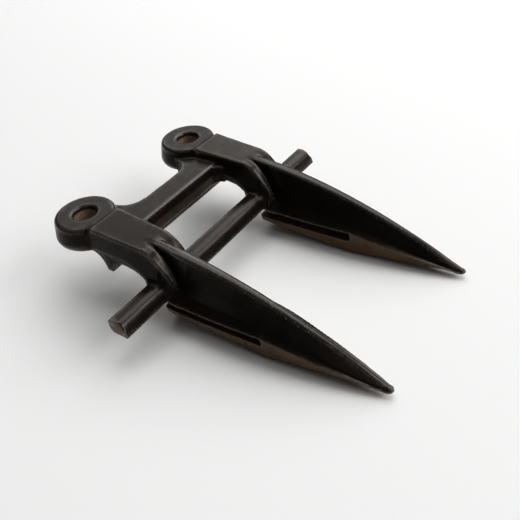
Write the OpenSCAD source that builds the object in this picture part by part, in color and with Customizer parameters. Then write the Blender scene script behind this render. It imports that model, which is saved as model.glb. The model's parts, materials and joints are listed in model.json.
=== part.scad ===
// Twin-finger knife guard of a finger-bar mower: one drop forging in steel.
// It lies as photographed, keel upward, which is upside down from how it works.
// Origin: midway between the two bolt holes, on the faces that seat on the bar.
// X runs along the mower's bar, the fingers point to -Y and +Z is up.
// "Reach" is the distance ahead of the bolt holes, towards the points.

/* [Fixing eyes] */
// Pitch of the two fingers and of their bolt holes
finger_pitch = 76.2; // [68:0.1:90]
// Diameter of the bolt hole
bolt_hole_d = 11; // [8:0.1:13]
// Radius of the bolt hole's worn edge on the keel side
hole_edge_r = 1.5; // [0.4:0.1:2]
// Diameter of the eye at its flash line
eye_d = 31.8; // [28:0.1:34]
// Diameter of the eye's face before its edge is rounded
eye_top_d = 28.4; // [24:0.1:30]
// Thickness of the eye
eye_t = 12.5; // [10:0.1:16]
// Radius of the eye's upper edge
eye_edge_r = 2; // [0.5:0.1:2.5]
// Radius of the eye's lower edge, at the seat
eye_foot_r = 3.2; // [0.5:0.1:4]
// Height of the flash line above the seat
flash_z = 3.5; // [2.5:0.1:5]
// Draft of the forged walls, in degrees
draft = 7; // [3:0.5:9]

/* [Shank] */
// Reach of the step at the back of the shank
step_reach = 12.8; // [11:0.1:15]
// Height of the step above the eye's face
step_h = 0.9; // [0.4:0.1:2]
// Width of the shank's top at the step
shank_top_w = 18.8; // [16:0.1:20]
// Width of the shank at its flash line
shank_w = 21.2; // [20.5:0.1:24]
// Fall of the shank's top towards the fingers, in degrees
shank_fall = 3.6; // [0:0.1:5]
// Depth of the shank's underside below the seat
shank_under = 1.6; // [0.5:0.1:3]
// Reach at which the nose begins to curve down
nose_reach = 42; // [40:0.5:45]
// Length of the nose's curve
nose_l = 17; // [14:0.5:19]
// Height of the nose's curve
nose_h = 18.5; // [15:0.5:21]
// Width across the two spurs of the nose
nose_w = 16.4; // [14:0.1:18]

/* [Finger] */
// Reach of the point
point_reach = 156; // [140:0.5:175]
// Depth of the point below the seat
point_depth = 21.5; // [16:0.1:24]
// Width of the finger where the point is rounded
point_w = 4.6; // [4:0.1:8]
// Radius of the point
point_r = 2.4; // [2:0.1:4]
// Power of the curve by which the finger's sides draw in to the point
side_curve = 2.4; // [2:0.1:3]
// Reach at which the keel leaves the shank
keel_reach = 38.8; // [36:0.1:40]
// Width of the keel's top where it leaves the shank
keel_w = 4.8; // [3.5:0.1:6]
// Width of the keel's top at the point
keel_point_w = 2.6; // [2:0.1:4]
// Slope of the keel where it leaves the shank, in degrees
keel_fall = 2.6; // [1:0.1:4]
// Radius of the keel's long curve
keel_curve_r = 257; // [230:1:300]
// Width of the base beside the knife
base_w = 23.8; // [22.5:0.1:27]
// Height of the base's side above the ledger face
base_edge_h = 0.5; // [0.3:0.1:2]
// Width between the hollows where the keel meets the base
hollow_w = 16; // [13:0.1:19]
// Height of the hollows above the ledger face
hollow_h = 4.6; // [3:0.1:6]

/* [Knife slot and lip] */
// Depth of the ledger face below the seat
ledger_depth = 11.3; // [10.5:0.1:12.5]
// Reach at which the faced part of the ledger begins
facing_reach = 62; // [60:0.1:66]
// Depth of the facing cut into the ledger
facing_h = 0.6; // [0.2:0.1:1]
// Height of the knife slot
slot_h = 5; // [4.3:0.1:6.5]
// Reach of the slot's closed end
slot_reach = 102.5; // [96:0.5:108]
// Radius of the slot's closed end
slot_end_r = 1.2; // [0.5:0.1:2]
// Reach of the lip's free end
lip_reach = 50.8; // [49:0.1:55]
// Thickness of the lip at its free end
lip_t = 2.9; // [1.6:0.1:3.5]
// Setback of the lip's sides from the base's sides
lip_setback = 0.3; // [0.2:0.1:1.5]
// Radius of the lip's free corners
lip_corner_r = 1.8; // [1:0.1:5]
// Depth of the finger's lowest edge below the seat
toe_depth = 24.3; // [22.5:0.1:26.5]
// Width of the finger's lowest face below the slot's end
toe_w = 16.4; // [14:0.1:20]

/* [Crossbar] */
// Length of the crossbar
bar_l = 150; // [146:0.5:154]
// Depth of the crossbar's underside below the seat
bar_depth = 9.9; // [9:0.1:10.5]
// Reach of the crossbar's back
bar_reach = 46; // [44:0.1:47]
// Width of the crossbar's underside
bar_w = 9.9; // [9:0.1:11.5]
// Width of the crossbar's top
bar_top_w = 7.6; // [6:0.1:9]
// Height of the crossbar
bar_h = 6.3; // [5:0.1:7.5]
// Radius of the crossbar's lower back edge
bar_under_r = 3.2; // [1.5:0.1:4]
// Radius of the crossbar's top back edge
bar_edge_r = 0.9; // [0.3:0.1:1.5]
// Radius of the crossbar's front ridge
bar_ridge_r = 3; // [0.5:0.1:4]
// Radius of the fillets where the crossbar meets the fingers
bar_fillet_r = 3; // [1.5:0.1:4]

/* [Bridge] */
// Reach of the bridge's back at its top
bridge_reach = 13.4; // [12.5:0.1:15]
// Width of the bridge's top
bridge_w = 12.8; // [10:0.1:15]
// Drop from the eye's face to the bridge's top
bridge_drop = 4; // [2:0.1:6]
// Depth of the bridge's underside below the seat
bridge_under = 2.6; // [1:0.1:3.5]
// Radius of the bridge's long edges
bridge_edge_r = 0.9; // [0.3:0.1:1.5]
// Radius of the sweep from the bridge's back into the eyes
bridge_sweep_r = 10.3; // [8:0.1:12]
// Radius of the fillets where the bridge's front meets the shanks
bridge_fillet_r = 4.5; // [1:0.1:6]
// Reach of the locating rib's back face
rib_reach = 15.2; // [14:0.1:16]
// Width of the locating rib at its root
rib_w = 10.6; // [8:0.1:12]
// Width of the locating rib at its foot
rib_foot_w = 4; // [3:0.1:6]
// Depth of the locating rib below the seat
rib_depth = 7.6; // [6:0.1:9]
// Radius of the locating rib's foot
rib_foot_r = 1.4; // [0.5:0.1:1.5]
// Radius of the curved root behind the locating rib, below each shank
rib_root_r = 6; // [4:0.1:7]

/* [Hidden] */
// Facets of the exact rounds, which are true curves
$fn = 64;
// How far joined solids run into each other
bury = 1;
// How far the thin end of a fillet stands over what it wraps
fillet_lap = 0.02;
// Least length that is divided by
tiny = 0.001;
// Share of a side that one rounded corner may use
corner_share = 0.45;
// Radius of a crisp edge
edge_r = 0.3;
// Radii of the spur, of its inner ridge, of the hollow, of the keel, of the sole and of the lip
spur_r = 1.2;
ridge_r = 0.9;
hollow_r = 5;
keel_r = 1;
sole_r = 1.4;
lip_r = 1;
// Plan radius of the locating rib's ends
rib_end_r = 4;
// Relief of the forged skin behind the faced eyes
skin_relief = 0.4;
// Length over which the shank's step rises
step_run = 0.5;
// Length over which the shank's sides widen into the base
flare_run = 14;
// Power of the curve by which the shank's underside falls to the crossbar
throat_power = 2.5;
// Length over which the flanks turn down towards the point
soft_run = 2.5;
// Length over which the spurs and hollows melt into the base
melt_run = 0.7;
// Shares of the way from the hollow to the base's side at which ridge and spur melt into it
ridge_share = 0.12;
spur_share = 0.3;
// Rise of the spur's inner ridge over its outer edge
ridge_rise = 0.8;
// Power of the curve by which the ridge turns away from the keel
ridge_power = 2.5;
// Share of the hollow's half width that the keel's top may fill
strip_share = 0.75;
// Turns of the rounded point's last stations, in degrees
upper_turn = 85;
lower_turn = 80;
// Points on each rounded corner of a section
corner_n = 3;
// Stations along the rear, the nose, the slot, the taper and the rounded point
rear_n = 5;
nose_n = 13;
slot_n = 7;
taper_n = 13;
round_n = 5;

half_pitch = finger_pitch / 2;
ledger_z = -ledger_depth;
bar_z = -bar_depth;
lip_z = ledger_z - slot_h;
toe_z = -toe_depth;
point_z = -point_depth;
bridge_z = eye_t - bridge_drop;
bar_front = bar_reach + bar_w;
nose_end = nose_reach + nose_l;
round_start = point_reach - point_r;
// The keel starts level with the shank's top
keel_z = shank_top_z(keel_reach);
// Lean of the locating rib's sides, and half its length below one shank
rib_lean = (rib_w - rib_foot_w) / 2;
rib_half_w = under_x(rib_reach + rib_w / 2) + bury / 2;
// Drop of the keel's top at its edges
keel_drop = keel_w / 10;
// Half widths at which the hollow and the ridge start on the shank, and at which the ridge ends
hollow_start = 0.6 * keel_w;
ridge_start = 0.75 * keel_w;
ridge_end = 0.36 * nose_w;

// Plain helpers
function mix(a, b, t) = a + (b - a) * t;
function part_of(v, a, b) = max(0, min(1, (v - a) / (b - a)));
function ease(t) = t * t * (3 - 2 * t);
function blend(a, b, v, v0, v1) = mix(a, b, ease(part_of(v, v0, v1)));
function soft_max(a, b, k) = max(a, b) + k * ln(1 + exp(-abs(a - b) / k));
function spread(a, b, n) = [for (i = [0:n - 1]) mix(a, b, i / n)];
function mirrored(pts) = [for (i = [len(pts) - 1:-1:0]) [-pts[i].x, pts[i].y]];
function toward(a, b, d) = a + (b - a) * min(d / max(norm(b - a), tiny), corner_share);

// A corner at p rounded between its neighbours, as a short curve of n + 1 points
function eased_corner(a, p, b, r, n) =
    let (s = toward(p, a, r), e = toward(p, b, r))
    [for (i = [0:n]) let (t = i / n) mix(mix(s, p, t), mix(p, e, t), t)];

// An outline whose corners are arcs of the radii given, tangent to both sides
function arc_corner(a, p, b, r, n) =
    let (u = (a - p) / norm(a - p), v = (b - p) / norm(b - p))
    let (half = acos(u * v) / 2, back = r / tan(half))
    let (c = p + (u + v) / norm(u + v) * r / sin(half))
    let (s = p + u * back - c, turn = cross(u, v) > 0 ? -1 : 1)
    [for (i = [0:n]) let (k = turn * (180 - 2 * half) * i / n)
        c + [s.x * cos(k) - s.y * sin(k), s.x * sin(k) + s.y * cos(k)]];
function arc_outline(pts, radii, n) =
    let (m = len(pts))
    [for (i = [0:m - 1])
        each arc_corner(pts[(i + m - 1) % m], pts[i], pts[(i + 1) % m], radii[i], n)];

// Height of the shank's top, with its step down to the eye and its nose
function shank_top_z(reach) =
    let (level = eye_t + step_h - tan(shank_fall) * max(0, reach - step_reach))
    let (behind = blend(eye_t - skin_relief, level, reach, step_reach, step_reach + step_run))
    behind - nose_h * pow(max(0, reach - nose_reach) / nose_l, 2);

// Half width of the shank's top, tapering from the step to the nose
function shank_top_x(reach) =
    mix(shank_top_w, nose_w, part_of(reach, step_reach, nose_reach)) / 2;

// Share of the way from the slot's end to the rounded point, with a soft start for the flanks
function taper_at(reach) = part_of(reach, slot_reach, round_start);
function soft_taper_at(reach) =
    min(1, soft_max(0, reach - slot_reach, soft_run) / (round_start - slot_reach));

// Half width of the finger at its flash line: shank, base and pointed sides
function side_x(reach) =
    let (base = blend(shank_w, base_w, reach, nose_end - flare_run, nose_end) / 2)
    mix(base, point_w / 2, pow(part_of(reach, nose_end, round_start), side_curve));

// Height of the flash line: mid shank, then the base's side, then down to the point
function side_z(reach) =
    let (level = blend(flash_z, ledger_z + base_edge_h, reach, nose_reach - bar_w, nose_end))
    mix(level, point_z, soft_taper_at(reach));

// Underside of the upper forging: shank, crossbar and ledger face, then the point
function under_z(reach) =
    let (shank = blend(skin_relief, -shank_under, reach, rib_reach, rib_reach + rib_w))
    let (throat = part_of(reach, nose_reach - bar_w, bar_reach + bury))
    let (level = mix(shank, ledger_z - facing_h, pow(throat, throat_power)))
    let (faced = blend(level, ledger_z, reach, facing_reach, facing_reach + step_run))
    mix(faced, point_z - base_edge_h, taper_at(reach));
function under_x(reach) =
    let (skirt = tan(draft) * (side_z(reach) - under_z(reach)) + base_edge_h / 2)
    max(side_x(reach) - skirt, side_x(reach) / 2);

// Crown of the keel, one long arc from the shank to the point
function keel_top_z(reach) =
    let (run = max(0, reach - keel_reach))
    keel_z - tan(keel_fall) * run - keel_curve_r + sqrt(pow(keel_curve_r, 2) - run * run);
function crown_z(reach) =
    reach < keel_reach ? shank_top_z(reach)
        : max(keel_top_z(reach), mix(side_z(reach), point_z + point_r / 2, taper_at(reach)));

// Hollow between the keel and a spur, running out as the crease above the base
function hollow_x(reach) =
    let (slot = hollow_w * side_x(reach) / base_w)
    blend(hollow_start, slot, reach, nose_reach + nose_l / 2, nose_end + nose_l / 2);
function hollow_z(reach) =
    let (fade = ease(part_of(reach, nose_end, round_start)))
    let (crease = side_z(reach) + (hollow_h - base_edge_h) * (1 - fade))
    let (groove = keel_z - nose_h * pow(max(0, reach - keel_reach) / nose_l, 2))
    reach < keel_reach ? shank_top_z(reach) : min(crown_z(reach), soft_max(groove, crease, melt_run));

// Right half of the upper section, from the flash line up to the crown
function upper_half(reach) =
    let (side = [side_x(reach), side_z(reach)])
    let (crown = [0, crown_z(reach)], hollow = [hollow_x(reach), hollow_z(reach)])
    let (on_keel = part_of(reach, keel_reach, nose_reach))
    let (strip_z = mix(crown.y, max(crown.y - keel_drop, hollow.y), on_keel))
    let (strip_w = mix(keel_w, keel_point_w, part_of(reach, nose_end, round_start)))
    let (strip = [min(strip_w / 2, hollow.x * strip_share), strip_z])
    let (run_out = ease(part_of(reach, nose_end - nose_l / 2, nose_end + nose_l / 8)))
    let (ridge_base = mix(hollow, side, ridge_share), spur_base = mix(hollow, side, spur_share))
    let (along = part_of(reach, nose_reach, nose_end), grown = ease(min(1, 2 * along)))
    let (melt = max(tiny, melt_run * grown))
    let (ridge_x = mix(ridge_start, ridge_end, pow(along, ridge_power)))
    let (top = [shank_top_x(reach), shank_top_z(reach)])
    let (ridge_z = top.y + ridge_rise * grown)
    let (ridge = [mix(ridge_x, ridge_base.x, run_out), soft_max(ridge_z, ridge_base.y, melt)])
    let (spur = [mix(top.x, spur_base.x, run_out), soft_max(top.y, spur_base.y, melt)])
    concat(
        [side],
        eased_corner(side, spur, ridge, spur_r, corner_n),
        eased_corner(spur, ridge, hollow, ridge_r, corner_n),
        eased_corner(ridge, hollow, strip, hollow_r, corner_n),
        eased_corner(hollow, strip, crown, keel_r, corner_n),
        [crown]
    );

// Whole upper section, anticlockwise from the right flash line
function upper_section(reach) =
    let (half = upper_half(reach), foot = [under_x(reach), under_z(reach)])
    let (left = mirrored([for (i = [0:len(half) - 2]) half[i]]))
    let (sole = eased_corner([0, foot.y], foot, half[0], sole_r, corner_n))
    concat(half, left, mirrored(sole), sole);

// Lower section: the lip below the slot, and the toe below the point
function lip_corner_x(reach) =
    let (into = max(0, lip_reach + lip_corner_r - reach))
    lip_corner_r - sqrt(max(0, pow(lip_corner_r, 2) - into * into));
function lower_z(reach) =
    let (front = mix(toe_z, point_z - point_r / 4, taper_at(reach)))
    reach < slot_reach ? mix(lip_z - lip_t, toe_z, part_of(reach, lip_reach, slot_reach)) : front;
function lower_section(reach) =
    let (top_x = side_x(reach) - lip_setback - lip_corner_x(reach))
    let (top_z = mix(ledger_z, side_z(reach), part_of(reach, slot_reach, slot_reach + bury)))
    let (toe_x = mix(toe_w, point_w / 4, taper_at(reach)) / 2)
    let (lip_x = top_x - tan(draft) * (top_z - lower_z(reach)))
    let (foot_x = mix(lip_x, toe_x, part_of(reach, lip_reach, slot_reach)))
    let (top = [top_x, top_z], foot = [foot_x, lower_z(reach)])
    let (half = concat(eased_corner([0, foot.y], foot, top, lip_r, corner_n), [top]))
    concat(half, mirrored(half));

// Shrinks a section towards the point's middle over the rounded point
function rounded_point(pts, reach) =
    let (k = sqrt(1 - pow(max(0, reach - round_start) / point_r, 2)))
    [for (p = pts) [p.x * k, mix(point_z, p.y, k)]];

// Skins a row of rings that all have the same number of points
module skin(rings) {
    n = len(rings[0]);
    last = len(rings) - 1;
    points = [for (ring = rings) each ring];
    sides = [for (i = [0:last - 1]) for (j = [0:n - 1])
        let (k = (j + 1) % n, a = i * n, b = a + n)
        each [[b + j, b + k, a + k], [b + j, a + k, a + j]]];
    start = [for (j = [0:n - 1]) j];
    end = [for (j = [n - 1:-1:0]) last * n + j];
    polyhedron(points, concat(sides, [start, end]), convexity = 6);
}

// A section of half width and height, set at its reach
function ring_at(section, reach) =
    [for (p = rounded_point(section, reach)) [p.x, -reach, p.y]];

// Puts a profile of reach and height across the guard, along X
module across(length) {
    rotate([90, 0, -90]) linear_extrude(length, center = true) children();
}

module finger_upper() {
    reaches = concat(
        [step_reach / 3, step_reach],
        spread(step_reach + step_run, nose_reach - bar_w / 2, rear_n),
        spread(nose_reach - bar_w / 2, facing_reach, nose_n),
        [facing_reach],
        spread(facing_reach + step_run, slot_reach, slot_n),
        spread(slot_reach, round_start, taper_n),
        [for (i = [0:round_n]) round_start + point_r * sin(upper_turn * i / round_n)]
    );
    skin([for (r = reaches) ring_at(upper_section(r), r)]);
}

module finger_lower() {
    reaches = concat(
        [for (i = [0:round_n - 1]) lip_reach + lip_corner_r * (1 - cos(90 * i / round_n))],
        spread(lip_reach + lip_corner_r, slot_reach, slot_n),
        [slot_reach],
        spread(slot_reach + bury, round_start, taper_n),
        [for (i = [0:round_n]) round_start + point_r * sin(lower_turn * i / round_n)]
    );
    skin([for (r = reaches) ring_at(lower_section(r), r)]);
}

// The knife's way, open at the back and sides and closed in front by a round
module knife_slot() {
    tall = slot_h + bury;
    profile = [
        [lip_reach - bury, lip_z],
        [slot_reach, lip_z],
        [slot_reach, lip_z + tall],
        [lip_reach - bury, lip_z + tall]
    ];
    across(2 * base_w) polygon(arc_outline(profile, [edge_r, slot_end_r, edge_r, edge_r], corner_n));
}

module finger() {
    finger_upper();
    difference() {
        finger_lower();
        knife_slot();
    }
}

// Forged eye: walls drafted from the flash line, with rounded edges
module eye() {
    r = eye_d / 2;
    top_r = eye_top_d / 2;
    foot_r = r - tan(draft) * flash_z;
    right = [[foot_r, 0], [r, flash_z], [top_r, eye_t]];
    profile = concat(
        [[0, 0]],
        arc_corner([0, 0], right[0], right[1], eye_foot_r, corner_n),
        [right[1]],
        arc_corner(right[1], right[2], [0, eye_t], eye_edge_r, corner_n),
        [[0, eye_t]]
    );
    rotate_extrude() polygon(profile);
}

// Bolt hole cut right through the eye, straight at the seat and worn round at the keel side
module bolt_hole() {
    r = bolt_hole_d / 2;
    start_z = eye_t - hole_edge_r;
    edge = [for (i = [0:corner_n]) let (k = 90 * i / corner_n)
        [r + hole_edge_r * (1 - cos(k)), start_z + hole_edge_r * sin(k)]];
    flare = concat([[0, start_z]], edge, [[r + hole_edge_r, eye_t + bury], [0, eye_t + bury]]);
    translate([0, 0, -bury]) cylinder(h = eye_t + 2 * bury, r = r);
    rotate_extrude() polygon(flare);
}

// Crossbar section: flat underside and top, sloped front, one round lower edge.
// It grows backward and upward from the foot of its front ridge.
function bar_outline(grow) =
    let (top = bar_z + bar_h, fixed = [bar_reach + bar_top_w, bar_z])
    let (corners = [
        [bar_reach, bar_z],
        [bar_front, bar_z],
        [bar_reach + bar_top_w, top],
        [bar_reach, top]
    ])
    let (round = arc_outline(corners, [bar_under_r, edge_r, bar_ridge_r, bar_edge_r], corner_n + 1))
    let (scale_x = 1 + grow / bar_top_w, scale_z = 1 + grow / bar_h)
    [for (p = round) fixed + [(p.x - fixed.x) * scale_x, (p.y - fixed.y) * scale_z]];

module crossbar() {
    across(bar_l) polygon(bar_outline(0));
}

// Half width of a finger's wall at a given reach and height
function wall_x(reach, z) =
    mix(side_x(reach), shank_top_x(reach), part_of(z, side_z(reach), shank_top_z(reach)));

// Fillet round the crossbar where it enters the side of a finger
module bar_collar() {
    rows = [for (i = [0:corner_n + 1]) let (k = 90 * i / (corner_n + 1))
        [bar_fillet_r * (1 - cos(k)), bar_fillet_r * (1 - sin(k)) + fillet_lap]];
    rows_in = concat([[-2 * bury, bar_fillet_r + fillet_lap]], rows);
    skin([for (i = [len(rows_in) - 1:-1:0])
        [for (p = bar_outline(rows_in[i][1])) [wall_x(p.x, p.y) + rows_in[i][0], -p.x, p.y]]]);
}

// Bridge between the eyes, drafted from its flash line
module bridge() {
    front = bridge_reach + bridge_w;
    swell = tan(draft) * (bridge_z - flash_z);
    tuck = tan(draft) * (flash_z + bridge_under);
    profile = [
        [bridge_reach, bridge_z],
        [bridge_reach - swell, flash_z],
        [bridge_reach - swell + tuck, skin_relief],
        [rib_reach, -bridge_under],
        [front + swell - tuck, -bridge_under],
        [front + swell, flash_z],
        [front, bridge_z]
    ];
    radii = [bridge_edge_r, edge_r, edge_r, edge_r, bridge_edge_r, edge_r, bridge_edge_r];
    across(finger_pitch - shank_w / 2) polygon(arc_outline(profile, radii, corner_n));
}

// Rib below the bridge and shanks, which stops against the bar's front edge
module locating_rib() {
    profile = [
        [rib_reach, bury],
        [rib_reach + rib_lean, -rib_depth],
        [rib_reach + rib_lean + rib_foot_w, -rib_depth],
        [rib_reach + rib_w, bury]
    ];
    half_l = half_pitch + rib_half_w;
    plan = [
        [half_l, -rib_reach],
        [-half_l, -rib_reach],
        [-half_l, -rib_reach - rib_w],
        [half_l, -rib_reach - rib_w]
    ];
    ends = [for (p = plan) rib_end_r];
    intersection() {
        across(2 * half_l)
            polygon(arc_outline(profile, [edge_r, rib_foot_r, rib_foot_r, edge_r], corner_n));
        translate([0, 0, -rib_depth - bury])
            linear_extrude(rib_depth + 3 * bury) polygon(arc_outline(plan, ends, corner_n));
    }
}

// Curved root that leads from one shank's underside down the back of the locating rib
module rib_root() {
    bed = skin_relief + edge_r;
    foot = bury - rib_depth;
    profile = [
        [rib_reach - rib_root_r, bed + bury],
        [rib_reach - rib_root_r, bed],
        [rib_reach, bed],
        [rib_reach + rib_lean, foot],
        [rib_reach + rib_lean + rib_foot_w / 2, foot],
        [rib_reach + rib_lean + rib_foot_w / 2, bed + bury]
    ];
    radii = [edge_r, edge_r, rib_root_r, edge_r, edge_r, edge_r];
    across(2 * (rib_half_w - edge_r)) polygon(arc_outline(profile, radii, round_n));
}

// Sweep of the bridge's back into one eye, hollowed by a waisted round
module bridge_sweep() {
    swell = tan(draft) * (bridge_z - flash_z);
    mid_reach = bridge_reach - bridge_sweep_r;
    mid_x = sqrt(pow(eye_d / 2 + bridge_sweep_r - swell, 2) - mid_reach * mid_reach);
    waist = [
        [0, -bury],
        [bridge_sweep_r - swell + tan(draft) * (flash_z + bury), -bury],
        [bridge_sweep_r - swell, flash_z],
        [bridge_sweep_r + tan(draft) * bury, bridge_z + bury],
        [0, bridge_z + bury]
    ];
    difference() {
        translate([0, -bridge_reach - bury, skin_relief])
            cube([mid_x, bridge_sweep_r + bury, bridge_z - skin_relief]);
        translate([mid_x, -mid_reach, 0]) rotate_extrude() polygon(waist);
    }
}

// Fillet between the bridge's front and the inner side of one shank
module bridge_fillet() {
    front = bridge_reach + bridge_w;
    wall = side_x(front);
    low = -bridge_under + bridge_edge_r;
    difference() {
        translate([wall - bury, -front - bridge_fillet_r, low])
            cube([bridge_fillet_r + bury, bridge_fillet_r + bury, bridge_z - low - bridge_edge_r]);
        translate([wall + bridge_fillet_r, -front - bridge_fillet_r, low - bury])
            cylinder(h = bridge_z - low + 2 * bury, r = bridge_fillet_r);
    }
}

// One side of the guard, with its inner side towards +X
module guard_side() {
    finger();
    eye();
    rib_root();
    bridge_sweep();
    bridge_fillet();
    bar_collar();
    mirror([1, 0, 0]) bar_collar();
}

module knife_guard() {
    color("#23201e") difference() {
        union() {
            translate([-half_pitch, 0, 0]) guard_side();
            translate([half_pitch, 0, 0]) mirror([1, 0, 0]) guard_side();
            bridge();
            locating_rib();
            crossbar();
        }
        for (side = [-1, 1]) translate([side * half_pitch, 0, 0]) bolt_hole();
    }
}

knife_guard();
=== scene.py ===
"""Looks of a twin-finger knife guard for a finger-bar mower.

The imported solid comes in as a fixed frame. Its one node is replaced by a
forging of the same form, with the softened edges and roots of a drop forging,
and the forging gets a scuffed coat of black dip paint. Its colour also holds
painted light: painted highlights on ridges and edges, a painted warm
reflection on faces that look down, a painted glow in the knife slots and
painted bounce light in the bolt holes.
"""

from __future__ import annotations

import json
import logging
import math
from dataclasses import dataclass, field
from enum import Enum

import bmesh
import bpy
import numpy as np
from mathutils import Euler, Matrix, Vector, noise

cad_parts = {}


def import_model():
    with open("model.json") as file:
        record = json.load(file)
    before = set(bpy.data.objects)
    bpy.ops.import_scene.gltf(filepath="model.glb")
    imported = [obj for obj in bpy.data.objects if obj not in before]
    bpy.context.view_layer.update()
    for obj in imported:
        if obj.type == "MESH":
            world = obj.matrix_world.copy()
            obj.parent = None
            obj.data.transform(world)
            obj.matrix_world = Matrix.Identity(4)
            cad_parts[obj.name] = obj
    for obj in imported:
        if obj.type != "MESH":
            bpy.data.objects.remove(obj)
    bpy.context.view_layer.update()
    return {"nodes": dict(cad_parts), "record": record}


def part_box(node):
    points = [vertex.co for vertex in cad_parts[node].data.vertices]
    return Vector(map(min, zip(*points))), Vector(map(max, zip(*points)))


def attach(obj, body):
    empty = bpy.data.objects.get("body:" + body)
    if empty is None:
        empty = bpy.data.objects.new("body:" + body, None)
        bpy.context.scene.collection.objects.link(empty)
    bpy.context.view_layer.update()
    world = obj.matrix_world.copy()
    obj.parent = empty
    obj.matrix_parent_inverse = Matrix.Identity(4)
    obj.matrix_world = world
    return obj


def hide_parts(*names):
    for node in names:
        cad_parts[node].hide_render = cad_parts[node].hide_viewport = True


LOG = logging.getLogger("knife_guard")

NODE = "knife_guard"
BODY = "root"
MM = 0.001

Colour = tuple[float, float, float]


class SkinMark(Enum):
    """Names of the point attributes that say what happened to the skin, and where
    light is painted into its colour.
    """

    # Ridge and edge marks are partly scuffing, partly painted highlight; the slot
    # mark is partly rusting, partly a painted glow; the downward brown is mostly
    # painted warm reflection; the bore mark is partly painted bounce light.
    RIDGE = "ridge_wear_and_highlight"
    EDGE = "edge_wear_and_highlight"
    SLOT = "slot_rust_and_glow"
    OXIDE_AND_GLOW = "oxide_film_and_floor_glow"
    HANDLED = "handled_top"
    BORE = "bore_rust_and_bounce"


class MixKind(Enum):
    """Kinds of mix node: Blender's name, its first input and its output."""

    COLOUR = ("RGBA", 6, 2)
    VALUE = ("FLOAT", 2, 0)


@dataclass(frozen=True)
class Ramp:
    """A soft rise from 0 at low to 1 at high, which may be the smaller one."""

    low: float
    high: float

    def share(self, values: np.ndarray) -> np.ndarray:
        """Turns values into shares of the rise, from 0 to 1."""
        share = np.clip((values - self.low) / (self.high - self.low), 0.0, 1.0)
        return share * share * (3.0 - 2.0 * share)


def ramp_mm(low: float, high: float) -> Ramp:
    """Makes a ramp between two lengths in millimetres."""
    return Ramp(low * MM, high * MM)


def line_mm(*lengths: float) -> tuple[float, ...]:
    """Turns a line of lengths in millimetres into metres."""
    return tuple(length * MM for length in lengths)


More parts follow.
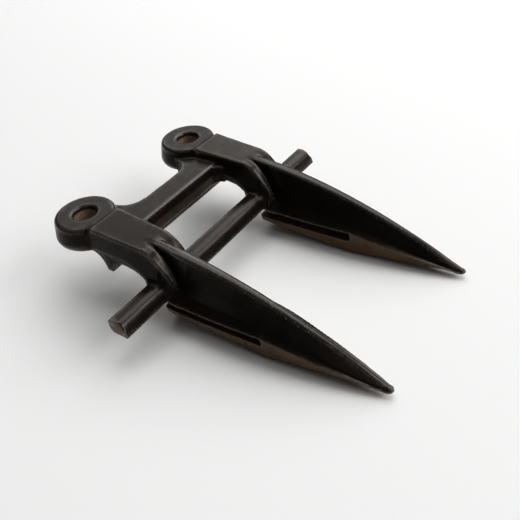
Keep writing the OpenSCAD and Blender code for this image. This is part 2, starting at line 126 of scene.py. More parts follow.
@dataclass
class SkinMap:
    """Points, normals and neighbours of a mesh, as arrays.

    Draw and push are the shares of the way to the neighbours' mean that one
    pass of smoothing goes in, and one pass of fairing goes out again.
    """

    mesh: bpy.types.Mesh
    draw: float = 0.5
    push: float = -0.56
    count: int = field(init=False)
    points: np.ndarray = field(init=False)
    normals: np.ndarray = field(init=False)
    near: np.ndarray = field(init=False)
    far: np.ndarray = field(init=False)
    degree: np.ndarray = field(init=False)

    def __post_init__(self) -> None:
        """Reads the arrays out of the mesh.

        Each edge is kept twice, once in either direction, from near to far.
        """
        self.count = len(self.mesh.vertices)
        rows = np.empty(self.count * 3, dtype=np.float32)
        self.mesh.vertices.foreach_get("co", rows)
        self.points = rows.reshape(-1, 3).astype(np.float64)
        self.mesh.vertex_normals.foreach_get("vector", rows)
        self.normals = rows.reshape(-1, 3).astype(np.float64)
        pairs = np.empty(len(self.mesh.edges) * 2, dtype=np.int32)
        self.mesh.edges.foreach_get("vertices", pairs)
        pairs = pairs.reshape(-1, 2)
        self.near = np.concatenate([pairs[:, 0], pairs[:, 1]])
        self.far = np.concatenate([pairs[:, 1], pairs[:, 0]])
        links = np.bincount(self.near, minlength=self.count)
        self.degree = np.maximum(links, 1)

    @property
    def reach(self) -> np.ndarray:
        """How far each point lies ahead of the bolt holes."""
        return -self.points[:, 1]

    @property
    def height(self) -> np.ndarray:
        """How high each point lies over the seat."""
        return self.points[:, 2]

    @property
    def up(self) -> np.ndarray:
        """How far the skin faces up at each point, from -1 to 1."""
        return self.normals[:, 2]

    def drawn(self, values: np.ndarray, share: float) -> np.ndarray:
        """Draws each point's value towards its neighbours' mean.

        Args:
            values: One row of values for each point.
            share: The share of the way, negative to push away.

        Returns:
            The drawn values.
        """
        mean = np.empty_like(values)
        for k in range(values.shape[1]):
            mean[:, k] = np.bincount(
                self.near, values[self.far, k], minlength=self.count
            )
        return values + share * (mean / self.degree[:, None] - values)

    def spread(self, values: np.ndarray, passes: int) -> np.ndarray:
        """Averages values over each point and its neighbours.

        Args:
            values: One value or one vector for each point.
            passes: How many times to average.

        Returns:
            The averaged values, in the same form.
        """
        rows = values.reshape(self.count, -1).astype(np.float64)
        for _ in range(passes):
            rows = self.drawn(rows, self.draw)
        return rows.reshape(values.shape)

    def faired(self, passes: int) -> np.ndarray:
        """Smooths the points without letting the form shrink.

        Args:
            passes: How many times to draw in and push out.

        Returns:
            The new points.
        """
        rows = self.points
        for _ in range(passes):
            rows = self.drawn(self.drawn(rows, self.draw), self.push)
        return rows

    def eased(self, share: np.ndarray, passes: int) -> np.ndarray:
        """Smooths the points, each by a share of its own.

        Args:
            share: How much of the smoothing each point gets, 0 for none.
            passes: How many times to draw.

        Returns:
            The new points.
        """
        active = np.flatnonzero(share > 0.0)
        index = np.full(self.count, -1)
        index[active] = np.arange(len(active))
        inner = index[self.near] >= 0
        rows, far = index[self.near[inner]], self.far[inner]
        part = self.draw * share[active][:, None]
        points = self.points.copy()
        for _ in range(passes):
            total = [
                np.bincount(rows, points[far, k], minlength=len(active))
                for k in range(3)
            ]
            mean = np.stack(total, axis=1) / self.degree[active][:, None]
            points[active] += part * (mean - points[active])
        return points

    def move(self, points: np.ndarray) -> None:
        """Puts the mesh's points at new places."""
        self.mesh.vertices.foreach_set("co", points.astype(np.float32).ravel())
        self.mesh.update()

    def relief(self, passes: int, spread: int) -> np.ndarray:
        """Measures how far the skin stands proud of its surroundings.

        Args:
            passes: How many times to average the skin, which sets the reach.
            spread: How many times to average the heights afterwards.

        Returns:
            The height of each point over the averaged skin, in metres.
        """
        shift = self.points - self.spread(self.points, passes)
        proud = np.einsum("ij,ij->i", shift, self.normals)
        return self.spread(proud, spread)

    def store(self, mark: SkinMark, values: np.ndarray) -> None:
        """Keeps a mask on the mesh as a point attribute."""
        layer = self.mesh.attributes.new(mark.value, "FLOAT", "POINT")
        layer.data.foreach_set("value", values.astype(np.float32))


@dataclass(frozen=True)
class BoltEyes:
    """The two bolt eyes, each in line with a finger.

    Sizes are in metres. The brown in a hole, partly rusting steel and partly
    painted bounce light, is picked by how near a point lies to the wall and how
    far down it lies from the eye's top, which is looked for within the rim.
    """

    middles: tuple[Vector, ...]
    radius: float
    rim: float = 4.0 * MM
    wall: Ramp = ramp_mm(0.7, 0.3)
    down: Ramp = ramp_mm(2.0, 2.8)

    @classmethod
    def from_record(cls, record: dict) -> BoltEyes:
        """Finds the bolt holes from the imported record.

        Args:
            record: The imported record.

        Returns:
            The eyes, with the holes' middles on the seat.
        """
        mount = next(m for m in record["mounts"] if m["kind"] == "bolt_pattern")
        middle = Vector(mount["pos_m"])
        half = Vector((mount["dims"]["spacing_x_mm"] * MM / 2, 0.0, 0.0))
        radius = mount["dims"]["hole_r_mm"] * MM
        return cls((middle - half, middle + half), radius)

    def beside(self, skin: SkinMap) -> list[np.ndarray]:
        """Measures how far points lie to the right of each finger's middle."""
        return [skin.points[:, 0] - middle.x for middle in self.middles]

    def nearest(self, skin: SkinMap) -> np.ndarray:
        """Measures how far points lie aside from the nearer finger's middle."""
        return np.abs(np.stack(self.beside(skin))).min(axis=0)

    def bores(self, skin: SkinMap) -> np.ndarray:
        """Picks the holes' walls, below their scuffed edges, for the brown of
        rusting and painted bounce light.

        Args:
            skin: The forging's skin.

        Returns:
            A share from 0 to 1 for each point.
        """
        picked = np.zeros(skin.count)
        for middle in self.middles:
            away = np.hypot(
                skin.points[:, 0] - middle.x, skin.points[:, 1] - middle.y
            )
            top = skin.height[away < self.radius + self.rim].max()
            inside = self.wall.share(away - self.radius)
            deep = self.down.share(top - skin.height)
            picked = np.maximum(picked, inside * deep)
        return picked


@dataclass(frozen=True)
class Crossbar:
    """The bar through both fingers.

    Sizes are in metres. The clear ramps keep off the fingers, and the corner
    is the upper one at the front.
    """

    reach: float = 50.0 * MM
    half: float = 5.5 * MM
    crown: float = 0.6 * MM
    clear: Ramp = ramp_mm(9.0, 15.0)
    upward: Ramp = Ramp(0.2, 0.7)
    corner_reach: float = 53.4 * MM
    corner_height: float = -3.9 * MM
    corner_near: Ramp = ramp_mm(3.6, 1.6)
    corner_clear: Ramp = ramp_mm(9.0, 13.0)
    worn_lit_front: Ramp = ramp_mm(49.0, 52.5)
    worn_lit_most: float = 0.7
    cut_near: Ramp = ramp_mm(1.2, 0.5)
    cut_facing: Ramp = Ramp(0.6, 0.9)

    def top(self, skin: SkinMap, eyes: BoltEyes) -> np.ndarray:
        """Picks the bar's top, most of all along its middle.

        Args:
            skin: The forging's skin.
            eyes: The bolt eyes, in line with the fingers.

        Returns:
            A share from 0 to 1 for each point.
        """
        across = (skin.reach - self.reach) / self.half
        clear = self.clear.share(eyes.nearest(skin)) * (abs(across) < 1.0)
        return (1.0 - across * across) * clear * self.upward.share(skin.up)

    def corner(self, skin: SkinMap, eyes: BoltEyes) -> np.ndarray:
        """Picks the bar's upper front corner.

        Args:
            skin: The forging's skin.
            eyes: The bolt eyes, in line with the fingers.

        Returns:
            A share from 0 to 1 for each point.
        """
        away = np.hypot(
            skin.reach - self.corner_reach, skin.height - self.corner_height
        )
        clear = self.corner_clear.share(eyes.nearest(skin))
        return clear * self.corner_near.share(away)

    def worn_and_lit(self, skin: SkinMap, eyes: BoltEyes) -> np.ndarray:
        """Picks the front part of the bar's top, scuffed and given a painted
        highlight.
        """
        front = self.worn_lit_front.share(skin.reach)
        return self.worn_lit_most * front * self.top(skin, eyes)

    def cut_ends(self, skin: SkinMap) -> np.ndarray:
        """Picks the bar's two cut ends.

        Args:
            skin: The forging's skin.

        Returns:
            A share from 0 to 1 for each point.
        """
        across = abs(skin.points[:, 0])
        near = self.cut_near.share(across.max() - across)
        return near * self.cut_facing.share(abs(skin.normals[:, 0]))


@dataclass(frozen=True)
class Fingers:
    """The two keeled fingers with their hollows, slots and points.

    Sizes are in metres. The spur line and the keel line give heights over
    the seat at places ahead of the bolt holes. Starts and ends are measured
    ahead of the holes too, and inner, outer and side from a finger's middle.
    """

    spur_reach: tuple[float, ...] = line_mm(40, 42, 44, 46, 48, 50)
    spur_top: tuple[float, ...] = line_mm(11.7, 11.55, 11.2, 10.5, 9.3, 7.5)
    keel_reach: tuple[float, ...] = line_mm(45, 60, 75, 90, 105, 120, 135, 150, 156)
    keel_top: tuple[float, ...] = line_mm(
        11.4, 9.9, 7.6, 4.3, 0.1, -5.1, -11.3, -18.6, -21
    )
    hollow_floor: float = 3.0 * MM
    level_start: Ramp = ramp_mm(40.0, 41.0)
    level_end: Ramp = ramp_mm(49.5, 46.0)
    level_inner: Ramp = ramp_mm(0.2, 0.8)
    level_outer: Ramp = ramp_mm(5.4, 4.8)
    ease_start: Ramp = ramp_mm(38.0, 40.0)
    ease_end: Ramp = ramp_mm(51.5, 47.5)
    ease_inner: Ramp = ramp_mm(1.6, 2.2)
    ease_outer: Ramp = ramp_mm(6.6, 5.4)
    keel_start: Ramp = ramp_mm(42.0, 46.0)
    keel_side: Ramp = ramp_mm(3.6, 3.0)
    keel_near: Ramp = ramp_mm(2.4, 1.4)
    keel_upward: Ramp = Ramp(0.4, 0.7)
    ledge_start: Ramp = ramp_mm(56.0, 60.0)
    ledge_below: Ramp = ramp_mm(4.0, 7.0)
    slot_end: float = 104.0 * MM
    slot_floor: Ramp = ramp_mm(-13.5, -15.0)
    slot_upward: Ramp = Ramp(0.2, 0.7)
    lip_below: Ramp = ramp_mm(-15.2, -16.4)
    lip_upward: Ramp = Ramp(0.6, 0.3)
    point: Ramp = ramp_mm(118.0, 145.0)
    point_swell: float = 0.2 * MM

    def level_far_hollows(self, skin: SkinMap, eyes: BoltEyes) -> None:
        """Brings the start of each far hollow level with its spur.

        Args:
            skin: The forging's skin, whose points are moved.
            eyes: The bolt eyes, in line with the fingers.
        """
        spur = np.interp(skin.reach, self.spur_reach, self.spur_top)
        lift = np.clip(spur - skin.height, 0.0, None)
        lift *= skin.height > self.hollow_floor
        lift *= self.level_start.share(skin.reach)
        lift *= self.level_end.share(skin.reach)
        for aside in eyes.beside(skin):
            inner = self.level_inner.share(aside) * self.level_outer.share(aside)
            skin.points[:, 2] += lift * inner

    def far_hollows(self, skin: SkinMap, eyes: BoltEyes) -> np.ndarray:
        """Picks the start of each far hollow.

        Args:
            skin: The forging's skin.
            eyes: The bolt eyes, in line with the fingers.

        Returns:
            A share from 0 to 1 for each point.
        """
        along = self.ease_start.share(skin.reach) * self.ease_end.share(skin.reach)
        along *= skin.height > self.hollow_floor
        picked = np.zeros(skin.count)
        for aside in eyes.beside(skin):
            across = self.ease_inner.share(aside) * self.ease_outer.share(aside)
            picked = np.maximum(picked, across * along)
        return picked

    def _depth(self, skin: SkinMap) -> np.ndarray:
        """Measures how far points lie below the keel's line."""
        return np.interp(skin.reach, self.keel_reach, self.keel_top) - skin.height

    def keels(self, skin: SkinMap, eyes: BoltEyes) -> np.ndarray:
        """Picks the keels' top strips.

        Args:
            skin: The forging's skin.
            eyes: The bolt eyes, in line with the fingers.

        Returns:
            A share from 0 to 1 for each point.
        """
        picked = self.keel_start.share(skin.reach)
        picked *= self.keel_side.share(eyes.nearest(skin))
        picked *= self.keel_near.share(self._depth(skin))
        return picked * self.keel_upward.share(skin.up)

    def ledges(self, skin: SkinMap) -> np.ndarray:
        """Picks the fingers' low parts, well below the keel."""
        low = self.ledge_below.share(self._depth(skin))
        return low * self.ledge_start.share(skin.reach)

    def slots(self, skin: SkinMap) -> np.ndarray:
        """Picks the floors of the knife slots."""
        floor = self.slot_floor.share(skin.height) * self.slot_upward.share(skin.up)
        return floor * (skin.reach < self.slot_end)

    def lips(self, skin: SkinMap) -> np.ndarray:
        """Picks the sides of the lips below the slots."""
        side = self.lip_below.share(skin.height) * self.lip_upward.share(skin.up)
        return side * (skin.reach < self.slot_end)

    def blunting(self, skin: SkinMap) -> np.ndarray:
        """Gives the swell that makes the points a little fuller."""
        return self.point_swell * self.point.share(skin.reach)


@dataclass(frozen=True)
class WearAndLight:
    """Where the paint is scuffed, handled, oxidised or rusty, and where light is
    painted into its colour.

    The fine relief finds the edges and the broad one the ridges, which take a
    painted highlight along with their scuffing. The brown on faces that look
    down, most of all low on the guard, is mostly a painted warm reflection from
    below, with some oxidation.
    """

    fine_passes: int = 14
    fine_spread: int = 3
    broad_passes: int = 60
    broad_spread: int = 6
    edge: Ramp = ramp_mm(0.04, 0.11)
    ridge: Ramp = ramp_mm(0.05, 0.22)
    ledge_dulls: float = 0.75
    handled: Ramp = Ramp(0.2, 0.6)
    film_glow_downward: Ramp = Ramp(0.02, -0.1)
    film_glow_height: Ramp = ramp_mm(-8.0, -15.0)
    film_glow_least: float = 0.25
    film_glow_spread: int = 4

    def mark(
        self, skin: SkinMap, eyes: BoltEyes, bar: Crossbar, fingers: Fingers
    ) -> None:
        """Keeps the masks on the forging's mesh.

        Args:
            skin: The forging's skin.
            eyes: The bolt eyes.
            bar: The crossbar.
            fingers: The fingers.
        """
        fine = skin.relief(self.fine_passes, self.fine_spread)
        broad = skin.relief(self.broad_passes, self.broad_spread)
        low = fingers.ledges(skin)
        # The ridge mark is partly scuffing and partly a painted highlight; the bar's
        # front top and the keels' top strips join it as painted highlight.
        ridge = self.ridge.share(broad) * (1.0 - self.ledge_dulls * low)
        ridge = np.maximum(ridge, bar.worn_and_lit(skin, eyes))
        ridge = np.maximum(ridge, fingers.keels(skin, eyes))
        # Painted warm reflection from below on faces that look down, on the bar's
        # cut ends and on the lip sides, with some oxidation.
        film_and_glow = self.film_glow_downward.share(skin.up) * (
            self.film_glow_least
            + (1.0 - self.film_glow_least) * self.film_glow_height.share(skin.height)
        )
        film_and_glow = np.maximum(film_and_glow, bar.cut_ends(skin))
        film_and_glow = np.maximum(film_and_glow, fingers.lips(skin))
        # The edge mark is partly scuffing and partly a painted highlight line.
        skin.store(SkinMark.EDGE, self.edge.share(fine))
        skin.store(SkinMark.RIDGE, ridge)
        skin.store(SkinMark.OXIDE_AND_GLOW, skin.spread(film_and_glow, self.film_glow_spread))
        # Painted glow on the slot floors, which lie in shade, along with their
        # rusting.
        skin.store(SkinMark.SLOT, fingers.slots(skin))
        # The bore mark is partly rusting and partly painted bounce light.
        skin.store(SkinMark.BORE, eyes.bores(skin))
        skin.store(SkinMark.HANDLED, self.handled.share(skin.up) * (1.0 - low))


@dataclass
class Forging:
    """The guard's forged body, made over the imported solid.

    Sizes are in metres. The solid is remeshed in a turned position, so that
    no edge of it runs along the grid and gets beads. What is sunk behind the
    fingers is an inner corner, and the swell is the skin's slight unevenness.
    """

    eyes: BoltEyes
    bar: Crossbar = Crossbar()
    fingers: Fingers = Fingers()
    wear_and_light: WearAndLight = WearAndLight()
    name: str = "forged_guard"
    merge: float = 2e-6
    grid_turn: Euler = Euler((0.41, 0.63, 0.29))
    voxel: float = 0.32 * MM
    fair_passes: int = 10
    sunk_passes: int = 70
    sunk_spread: int = 6
    sunk: Ramp = ramp_mm(0.04, 0.16)
    root_behind: Ramp = ramp_mm(36.0, 32.0)
    root_passes: int = 120
    swell: float = 0.07 * MM
    swell_size: float = 9.0 * MM
    swell_fade: float = 1.0
    swell_step: float = 2.0
    swell_layers: int = 2
    triangles: int = 186_000

    def build(self, source: bpy.types.Object) -> bpy.types.Object:
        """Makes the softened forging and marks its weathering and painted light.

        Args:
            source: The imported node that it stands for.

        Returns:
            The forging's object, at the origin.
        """
        mesh = self._merged_copy(source.data)
        mesh = self._remeshed(mesh)
        self._fill_roots(mesh)
        self._crown_bar(mesh)
        self._uneven(mesh)
        self.wear_and_light.mark(SkinMap(mesh), self.eyes, self.bar, self.fingers)
        mesh = self._thinned(mesh)
        mesh.shade_smooth()
        obj = bpy.data.objects.new(self.name, mesh)
        bpy.context.scene.collection.objects.link(obj)
        return obj

    def _merged_copy(self, source: bpy.types.Mesh) -> bpy.types.Mesh:
        """Copies the node's loose triangles into one closed mesh.

        Args:
            source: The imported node's mesh, which stays as it is.

        Returns:
            The new mesh.
        """
        shell = bmesh.new()
        shell.from_mesh(source)
        bmesh.ops.remove_doubles(shell, verts=shell.verts, dist=self.merge)
        mesh = bpy.data.meshes.new(self.name + "_solid")
        shell.to_mesh(mesh)
        shell.free()
        return mesh

    def _applied(
        self, mesh: bpy.types.Mesh, kind: str, settings: dict[str, object]
    ) -> bpy.types.Mesh:
        """Runs one modifier on a mesh and returns the result.

        Args:
            mesh: The mesh to change, which is removed afterwards.
            kind: Blender's name for the modifier.
            settings: The modifier's settings.

        Returns:
            The new mesh.
        """
        bench = bpy.data.objects.new(self.name + "_bench", mesh)
        bpy.context.scene.collection.objects.link(bench)
        modifier = bench.modifiers.new(kind.lower(), kind)
        for key, value in settings.items():
            setattr(modifier, key, value)
        graph = bpy.context.evaluated_depsgraph_get()
        made = bpy.data.meshes.new_from_object(bench.evaluated_get(graph))
        bpy.data.objects.remove(bench)
        bpy.data.meshes.remove(mesh)
        return made

    def _remeshed(self, mesh: bpy.types.Mesh) -> bpy.types.Mesh:
        """Gives the mesh even faces and eases its crisp edges.

        Args:
            mesh: The closed mesh, which is removed afterwards.

        Returns:
            The new mesh.
        """
        turn = self.grid_turn.to_matrix().to_4x4()
        mesh.transform(turn)
        mesh = self._applied(
            mesh, "REMESH", {"mode": "VOXEL", "voxel_size": self.voxel}
        )
        mesh.transform(turn.inverted())
        skin = SkinMap(mesh)
        skin.move(skin.faired(self.fair_passes))
        LOG.info("skin of %d points", skin.count)
        return mesh

    def _fill_roots(self, mesh: bpy.types.Mesh) -> None:
        """Eases inner corners, far hollows and the crossbar's upper corner.

        Args:
            mesh: The forging's mesh.
        """
        skin = SkinMap(mesh)
        sunk = -skin.relief(self.sunk_passes, self.sunk_spread)
        share = self.root_behind.share(skin.reach) * self.sunk.share(sunk)
        self.fingers.level_far_hollows(skin, self.eyes)
        share = np.maximum(share, self.fingers.far_hollows(skin, self.eyes))
        share = np.maximum(share, self.bar.corner(skin, self.eyes))
        skin.move(skin.eased(share, self.root_passes))
        LOG.info("roots eased at %d points", np.count_nonzero(share))

    def _crown_bar(self, mesh: bpy.types.Mesh) -> None:
        """Gives the crossbar's top a slight crown.

        Args:
            mesh: The forging's mesh.
        """
        skin = SkinMap(mesh)
        skin.points[:, 2] += self.bar.crown * self.bar.top(skin, self.eyes)
        skin.move(skin.points)

    def _uneven(self, mesh: bpy.types.Mesh) -> None:
        """Moves the skin in and out a little and blunts the points.

        Args:
            mesh: The forging's mesh.
        """
        skin = SkinMap(mesh)
        swell = [
            noise.fractal(
                Vector(point) / self.swell_size,
                self.swell_fade,
                self.swell_step,
                self.swell_layers,
            )
            for point in skin.points
        ]
        lift = np.array(swell) * self.swell + self.fingers.blunting(skin)
        skin.move(skin.points + skin.normals * lift[:, None])

    def _thinned(self, mesh: bpy.types.Mesh) -> bpy.types.Mesh:
        """Brings the mesh down to its share of triangles.

        Args:
            mesh: The forging's mesh, which is removed afterwards.

        Returns:
            The new mesh.
        """
        mesh.calc_loop_triangles()
        ratio = min(1.0, self.triangles / len(mesh.loop_triangles))
        LOG.info("%d triangles before thinning", len(mesh.loop_triangles))
        return self._applied(mesh, "DECIMATE", {"ratio": ratio})

    def dress(self, obj: bpy.types.Object, finish: bpy.types.Material) -> None:
        """Gives the forging its finish and ties it to the frame.

        Args:
            obj: The forging's object.
            finish: The material.
        """
        obj.data.materials.clear()
        obj.data.materials.append(finish)
        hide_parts(NODE)
        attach(obj, BODY)


@dataclass(frozen=True)
class Grain:
    """One noise: its patch size in metres, its finer layers and their strength."""

    size: float
    detail: float
    rough: float


@dataclass(frozen=True)
class Remap:
    """A soft change from one range of a value to another."""

    low: float
    high: float
    to_low: float = 0.0
    to_high: float = 1.0


class NodeBench:
    """Places and links the nodes of one material or world."""

    def __init__(self, tree: bpy.types.NodeTree) -> None:
        """Starts on an emptied tree."""
        self.tree = tree
        tree.nodes.clear()

    def add(self, kind: str, **settings: object) -> bpy.types.Node:
        """Adds a node.

        Args:
            kind: Blender's class name of the node.
            **settings: Settings of the node itself.

        Returns:
            The node.
        """
        made = self.tree.nodes.new(kind)
        for key, value in settings.items():
            setattr(made, key, value)
        return made

    def put(self, socket: bpy.types.NodeSocket, value: object) -> None:
        """Links or sets one input.

        Args:
            socket: The input.
            value: A socket to link, a colour or a number.
        """
        if isinstance(value, bpy.types.NodeSocket):
            self.tree.links.new(value, socket)
        elif isinstance(value, tuple):
            socket.default_value = (*value, 1.0)
        else:
            socket.default_value = value

    def feed(self, made: bpy.types.Node, **inputs: object) -> None:
        """Links or sets a node's inputs, named with _ for a space."""
        for key, value in inputs.items():
            self.put(made.inputs[key.replace("_", " ")], value)

    def noise(
        self, where: bpy.types.NodeSocket, grain: Grain
    ) -> bpy.types.NodeSocket:
        """Adds a noise.

        Args:
            where: The coordinates.
            grain: The noise's size and layers.

        Returns:
            The noise's value.
        """
        made = self.add("ShaderNodeTexNoise")
        self.feed(
            made,
            Vector=where,
            Scale=1.0 / grain.size,
            Detail=grain.detail,
            Roughness=grain.rough,
        )
        return made.outputs["Fac"]

    def remap(
        self, value: bpy.types.NodeSocket, remap: Remap
    ) -> bpy.types.NodeSocket:
        """Maps a value from one range to another, with soft ends.

        Args:
            value: The value.
            remap: The two ranges.

        Returns:
            The mapped value.
        """
        made = self.add("ShaderNodeMapRange", interpolation_type="SMOOTHSTEP")
        self.feed(
            made,
            Value=value,
            From_Min=remap.low,
            From_Max=remap.high,
            To_Min=remap.to_low,
            To_Max=remap.to_high,
        )
        return made.outputs["Result"]

    def math(
        self,
        kind: str,
        first: bpy.types.NodeSocket,
        second: bpy.types.NodeSocket,
    ) -> bpy.types.NodeSocket:
        """Joins two values, kept between 0 and 1.

        Args:
            kind: The operation.
            first: The first value.
            second: The second value.

        Returns:
            The result.
        """
        made = self.add("ShaderNodeMath", operation=kind, use_clamp=True)
        self.put(made.inputs[0], first)
        self.put(made.inputs[1], second)
        return made.outputs["Value"]

    def mix(
        self,
        kind: MixKind,
        share: bpy.types.NodeSocket,
        first: object,
        second: object,
    ) -> bpy.types.NodeSocket:
        """Mixes two colours or two values.

        Args:
            kind: What is mixed.
            share: The second one's share.
            first: A socket, a colour or a number.
            second: A socket, a colour or a number.

        Returns:
            The mixed colour or value.
        """
        data_type, start, result = kind.value
        made = self.add("ShaderNodeMix", data_type=data_type)
        self.put(made.inputs[0], share)
        self.put(made.inputs[start], first)
        self.put(made.inputs[start + 1], second)
        return made.outputs[result]

    def mark(self, mark: SkinMark) -> bpy.types.NodeSocket:
        """Reads one of the skin's masks.

        Args:
            mark: The mask.

        Returns:
            Its value.
        """
        made = self.add(
            "ShaderNodeAttribute",
            attribute_type="GEOMETRY",
            attribute_name=mark.value,
        )
        return made.outputs["Fac"]


@dataclass(frozen=True)
class DipPaint:
    """Black dip paint on forged steel, scuffed, with painted highlights on ridges, a
    mostly painted warm reflection below, and rusty holes with painted bounce light.
    """

    name: str = "black_dip_paint"
    paint: Colour = (0.0042, 0.0033, 0.0027)
    paint_grey: Colour = (0.0062, 0.005, 0.0041)
    # Scuffed bare metal on ridges and edges, lightened further as a painted
    # highlight.
    rubbed_and_highlight: Colour = (0.155, 0.134, 0.108)
    # Rusting on the slot floors, made light enough to be a painted glow in their
    # shade.
    slot_rust_and_glow: Colour = (0.1, 0.068, 0.045)
    # Brown on faces that look down: mostly painted warm reflection from below,
    # partly oxidation.
    oxide_and_floor_glow: Colour = (0.095, 0.058, 0.032)
    # Brown on the hole walls: partly rusting steel, partly painted bounce light.
    rust_and_bounce: Colour = (0.22, 0.145, 0.107)
    gloss_tint: Colour = (1.0, 0.81, 0.68)
    worn_tint: Colour = (1.0, 0.93, 0.89)
    gloss_worn: float = 0.43
    rough_worn: float = 0.22
    rough_rust: float = 0.85
    grain_height: float = 0.05 * MM
    grain_strength: float = 0.6
    patch: Grain = Grain(14.0 * MM, 3.0, 0.55)
    scuff: Grain = Grain(1.1 * MM, 4.0, 0.65)
    grain: Grain = Grain(0.7 * MM, 1.0, 0.5)
    dents: Grain = Grain(5.0 * MM, 2.0, 0.5)
    patch_grey: Remap = Remap(0.35, 0.68)
    patch_film_glow: Remap = Remap(0.25, 0.6, 0.6, 1.0)
    scuff_ridge: Remap = Remap(0.5, 0.74, 0.0, 0.45)
    scuff_edge: Remap = Remap(0.32, 0.62, 0.16, 0.46)
    scuff_bore: Remap = Remap(0.3, 0.6, 0.5, 1.0)
    dent_rough: Remap = Remap(0.35, 0.65, 0.27, 0.34)
    ridge_grain: Remap = Remap(0.0, 1.0, 0.02, 0.42)
    top_grain: Remap = Remap(0.0, 1.0, 0.02, 0.16)
    top_gloss: Remap = Remap(0.0, 1.0, 0.08, 0.15)

    def material(self) -> bpy.types.Material:
        """Builds the finish.

        Returns:
            The material.
        """
        made = bpy.data.materials.new(self.name)
        made.use_nodes = True
        bench = NodeBench(made.node_tree)
        where = bench.add("ShaderNodeTexCoord").outputs["Object"]
        scuff = bench.noise(where, self.scuff)
        ridge = bench.mark(SkinMark.RIDGE)
        handled = bench.mark(SkinMark.HANDLED)
        bore = bench.math(
            "MULTIPLY",
            bench.mark(SkinMark.BORE),
            bench.remap(scuff, self.scuff_bore),
        )
        gloss = bench.remap(handled, self.top_gloss)
        shader = bench.add("ShaderNodeBsdfPrincipled")
        bench.feed(
            shader,
            Base_Color=self._colour(bench, where, scuff, bore),
            Roughness=self._roughness(bench, where, ridge, bore),
            Specular_IOR_Level=bench.mix(
                MixKind.VALUE, ridge, gloss, self.gloss_worn
            ),
            Specular_Tint=bench.mix(
                MixKind.COLOUR, ridge, self.gloss_tint, self.worn_tint
            ),
            Normal=self._normal(bench, where, ridge, handled),
        )
        out = bench.add("ShaderNodeOutputMaterial")
        bench.feed(out, Surface=shader.outputs["BSDF"])
        return made

    def _colour(
        self,
        bench: NodeBench,
        where: bpy.types.NodeSocket,
        scuff: bpy.types.NodeSocket,
        bore: bpy.types.NodeSocket,
    ) -> bpy.types.NodeSocket:
        """Lays painted warm reflection with some oxidation, scuffed metal with
        painted highlights, the slots' rusting and painted glow, and the holes'
        rusting and painted bounce light over the paint's colour.

        Args:
            bench: The material's nodes.
            where: The coordinates.
            scuff: The noise of the scuffs.
            bore: The share of rusting and painted bounce light in the holes.

        Returns:
            The colour.
        """
        patch = bench.noise(where, self.patch)
        film_and_glow = bench.math(
            "MULTIPLY",
            bench.mark(SkinMark.OXIDE_AND_GLOW),
            bench.remap(patch, self.patch_film_glow),
        )
        ridge = bench.math(
            "MULTIPLY",
            bench.mark(SkinMark.RIDGE),
            bench.remap(scuff, self.scuff_ridge),
        )
        edge = bench.math(
            "MULTIPLY",
            bench.mark(SkinMark.EDGE),
            bench.remap(scuff, self.scuff_edge),
        )
        colour = bench.mix(
            MixKind.COLOUR,
            bench.remap(patch, self.patch_grey),
            self.paint,
            self.paint_grey,
        )
        # Painted light goes into the colour here: warm reflection below, highlights
        # on ridges and edges, a glow in the slots and bounce light in the holes.
        for share, coat in (
            (film_and_glow, self.oxide_and_floor_glow),
            (bench.math("MAXIMUM", ridge, edge), self.rubbed_and_highlight),
            (bench.mark(SkinMark.SLOT), self.slot_rust_and_glow),
            (bore, self.rust_and_bounce),
        ):
            colour = bench.mix(MixKind.COLOUR, share, colour, coat)
        return colour

    def _roughness(
        self,
        bench: NodeBench,
        where: bpy.types.NodeSocket,
        ridge: bpy.types.NodeSocket,
        bore: bpy.types.NodeSocket,
    ) -> bpy.types.NodeSocket:
        """Makes the ridges smoother and the rusty holes matt.

        Args:
            bench: The material's nodes.
            where: The coordinates.
            ridge: The ridges' mask.
            bore: The share of rusting and painted bounce light in the holes.

        Returns:
            The roughness.
        """
        dents = bench.noise(where, self.dents)
        rough = bench.remap(dents, self.dent_rough)
        rough = bench.mix(MixKind.VALUE, ridge, rough, self.rough_worn)
        return bench.mix(MixKind.VALUE, bore, rough, self.rough_rust)

    def _normal(
        self,
        bench: NodeBench,
        where: bpy.types.NodeSocket,
        ridge: bpy.types.NodeSocket,
        handled: bpy.types.NodeSocket,
    ) -> bpy.types.NodeSocket:
        """Gives ridges and tops a fine grain.

        Args:
            bench: The material's nodes.
            where: The coordinates.
            ridge: The ridges' mask.
            handled: The tops' mask.

        Returns:
            The normal.
        """
        depth = bench.math(
            "MAXIMUM",
            bench.remap(ridge, self.ridge_grain),
            bench.remap(handled, self.top_grain),
        )
        height = bench.math("MULTIPLY", bench.noise(where, self.grain), depth)
        bump = bench.add("ShaderNodeBump")
        bench.feed(
            bump,
            Strength=self.grain_strength,
            Distance=self.grain_height,
            Height=height,
        )
        return bump.outputs["Normal"]


@dataclass(frozen=True)
class FloorPaper:
    """Plain pale paper of the studio floor."""

    name: str = "floor_paper"
    colour: Colour = (0.91, 0.91, 0.905)

    def material(self) -> bpy.types.Material:
        """Builds the finish, a matt paper.

        Returns:
            The material.
        """
        made = bpy.data.materials.new(self.name)
        made.use_nodes = True
        bench = NodeBench(made.node_tree)
        shader = bench.add("ShaderNodeBsdfDiffuse")
        bench.feed(shader, Color=self.colour)
        out = bench.add("ShaderNodeOutputMaterial")
        bench.feed(out, Surface=shader.outputs["BSDF"])
        return made


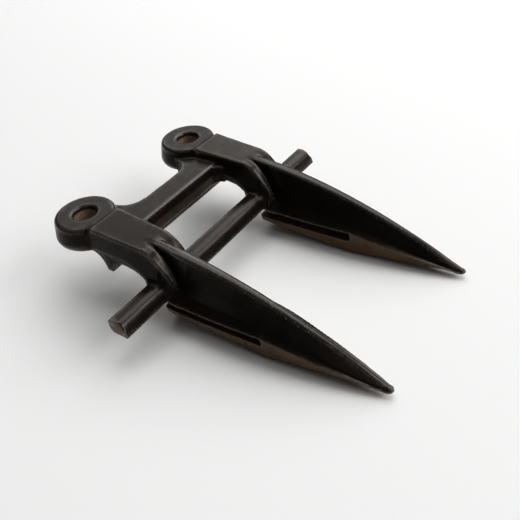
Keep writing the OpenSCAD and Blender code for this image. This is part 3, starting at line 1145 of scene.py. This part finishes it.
@dataclass(frozen=True)
class SoftBox:
    """One soft light that looks at the guard.

    Lengths are in metres, and the glow is the brightness of its face.
    """

    name: str
    toward: tuple[float, float, float]
    width: float
    height: float
    glow: float
    distance: float = 2.0

    def place(self, target: Vector) -> None:
        """Hangs the lamp.

        Args:
            target: The point that it looks at.
        """
        data = bpy.data.lights.new(self.name, "AREA")
        data.shape = "RECTANGLE"
        data.size = self.width
        data.size_y = self.height
        data.energy = self.glow * math.pi * self.width * self.height
        lamp = bpy.data.objects.new(self.name, data)
        way = Vector(self.toward).normalized()
        lamp.location = target + way * self.distance
        lamp.rotation_euler = way.to_track_quat("Z", "Y").to_euler()
        bpy.context.scene.collection.objects.link(lamp)


@dataclass
class Studio:
    """Floor, lamps and world round the guard. Lengths are in metres."""

    floor_span: float = 8.0
    floor_gap: float = 0.1 * MM
    ambient: Colour = (0.05, 0.05, 0.05)
    target: Vector = Vector((0.0, -0.06, 0.0))
    boxes: tuple[SoftBox, ...] = (
        SoftBox("side_box", (0.539, 0.643, 0.545), width=1.2, height=0.8, glow=1.85),
        SoftBox("top_box", (0.582, 0.082, 0.809), width=1.7, height=2.3, glow=2.6),
        SoftBox("front_box", (0.35, -0.751, 0.559), width=2.0, height=1.1, glow=4.0),
        SoftBox("back_box", (0.0, 0.5, 0.866), width=1.0, height=0.6, glow=1.8),
    )

    def build(self, lowest: float) -> None:
        """Sets the stage.

        Args:
            lowest: The height of the guard's lowest point.
        """
        self._lay_floor(lowest - self.floor_gap)
        for box in self.boxes:
            box.place(self.target)
        self._fill_room()
        bpy.context.scene.view_settings.view_transform = "Standard"

    def _lay_floor(self, height: float) -> None:
        """Lays the floor.

        Args:
            height: The height of its top.
        """
        sheet = bmesh.new()
        bmesh.ops.create_grid(
            sheet, x_segments=1, y_segments=1, size=self.floor_span / 2
        )
        bmesh.ops.translate(sheet, verts=sheet.verts, vec=(0.0, 0.0, height))
        mesh = bpy.data.meshes.new("floor")
        sheet.to_mesh(mesh)
        sheet.free()
        mesh.materials.append(FloorPaper().material())
        floor = bpy.data.objects.new("floor", mesh)
        bpy.context.scene.collection.objects.link(floor)

    def _fill_room(self) -> None:
        """Fills the room with a weak, even light.

        The world's colour is the light's strength, on every side alike.
        """
        world = bpy.data.worlds.new("studio_world")
        world.use_nodes = True
        bench = NodeBench(world.node_tree)
        sky = bench.add("ShaderNodeBackground")
        bench.feed(sky, Color=self.ambient, Strength=1.0)
        out = bench.add("ShaderNodeOutputWorld")
        bench.feed(out, Surface=sky.outputs["Background"])
        bpy.context.scene.world = world


@dataclass(frozen=True)
class PhotoCamera:
    """Camera at the photograph's place, angle and width of view."""

    name: str = "photo_camera"
    place: tuple[float, float, float] = (-0.1746, -0.2107, 0.1686)
    look: tuple[float, float, float] = (0.597, 0.483, -0.641)
    up: tuple[float, float, float] = (0.578, 0.295, 0.761)
    sensor_mm: float = 36.0
    focal_px: float = 609.0
    frame_px: float = 520.0
    clip_start: float = 0.01

    def build(self) -> None:
        """Places the camera and makes it the scene's.

        The focal length was found in pixels of the photograph's width, and
        the lens is the same share of the sensor's width.
        """
        data = bpy.data.cameras.new(self.name)
        data.sensor_width = self.sensor_mm
        data.lens = self.sensor_mm * self.focal_px / self.frame_px
        data.clip_start = self.clip_start
        back = -Vector(self.look).normalized()
        side = Vector(self.up).cross(back).normalized()
        rise = back.cross(side)
        turn = Matrix((side, rise, back)).transposed()
        camera = bpy.data.objects.new(self.name, data)
        camera.matrix_world = Matrix.Translation(self.place) @ turn.to_4x4()
        bpy.context.scene.collection.objects.link(camera)
        bpy.context.scene.camera = camera


def main() -> None:
    """Builds the guard, its finish and the studio.
    """
    logging.basicConfig(level=logging.INFO, format="%(message)s")
    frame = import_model()
    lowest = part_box(NODE)[0].z

    PhotoCamera().build()
    LOG.info("camera placed")
    Studio().build(lowest)
    LOG.info("studio set")

    forging = Forging(BoltEyes.from_record(frame["record"]))
    guard = forging.build(frame["nodes"][NODE])
    LOG.info("%s: %d faces", guard.name, len(guard.data.polygons))
    forging.dress(guard, DipPaint().material())
    LOG.info("%s dressed", guard.name)


if __name__ == "__main__":
    main()
